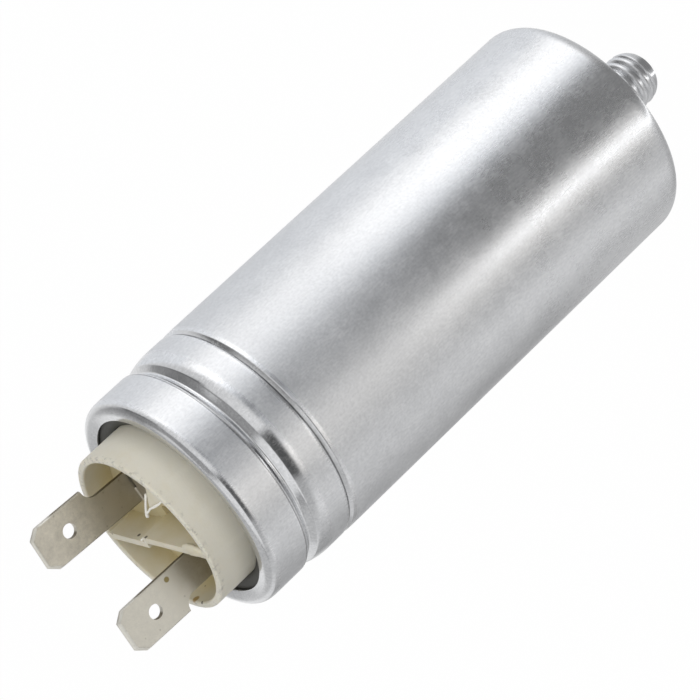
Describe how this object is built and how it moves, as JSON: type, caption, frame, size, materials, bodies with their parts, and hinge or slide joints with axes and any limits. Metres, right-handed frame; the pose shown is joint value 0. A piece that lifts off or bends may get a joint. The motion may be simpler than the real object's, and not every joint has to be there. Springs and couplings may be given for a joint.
{
  "type": "motor run capacitor",
  "caption": "Round aluminium can with a threaded stud in its base, rolled grooves, and blade terminals in a plastic cup held by a curled lip over a rubber ring.",
  "frame": {"origin": "on the can axis, in the plane of the flat base that bears on the mounting plate, where the stud leaves it", "axes": "+Z along the can axis towards the terminals, the stud points to -Z, and +X runs towards the side of terminal tab 1"},
  "size_m": [0.034, 0.034, 0.1102],
  "materials": {
    "can_aluminium": "satin, as extruded, with fine scratches along the can",
    "cup_plastic": "plain moulded, ivory",
    "ring_rubber": "matt black",
    "tab_tinned_brass": "dull tin plate over brass",
    "tag_tinned_brass": "tinned brass strip",
    "rivet_brass": "tinned brass, set flush",
    "lead_copper": "tinned copper wire",
    "sleeve_plastic": "plain tubing",
    "winding_film": "metallised film, wound tight",
    "core_plastic": "plain moulded",
    "spray_zinc": "rough sprayed zinc",
    "liner_film": "clear film sleeve",
    "resin": "cast resin"
  },
  "bodies": {
    "root": {"can": "can_aluminium", "terminal_cup": "cup_plastic", "sealing_ring": "ring_rubber", "terminal_tab_1": "tab_tinned_brass", "terminal_tab_2": "tab_tinned_brass", "rivet_1": "rivet_brass", "rivet_2": "rivet_brass", "solder_tag_1": "tag_tinned_brass", "solder_tag_2": "tag_tinned_brass", "lead_1": "lead_copper", "lead_2": "lead_copper", "lead_sleeve_1": "sleeve_plastic", "lead_sleeve_2": "sleeve_plastic", "winding": "winding_film", "winding_core": "core_plastic", "end_spray_top": "spray_zinc", "end_spray_bottom": "spray_zinc", "insulating_liner": "liner_film", "base_insulator": "core_plastic", "potting_resin": "resin"}
  },
  "joints": []
}
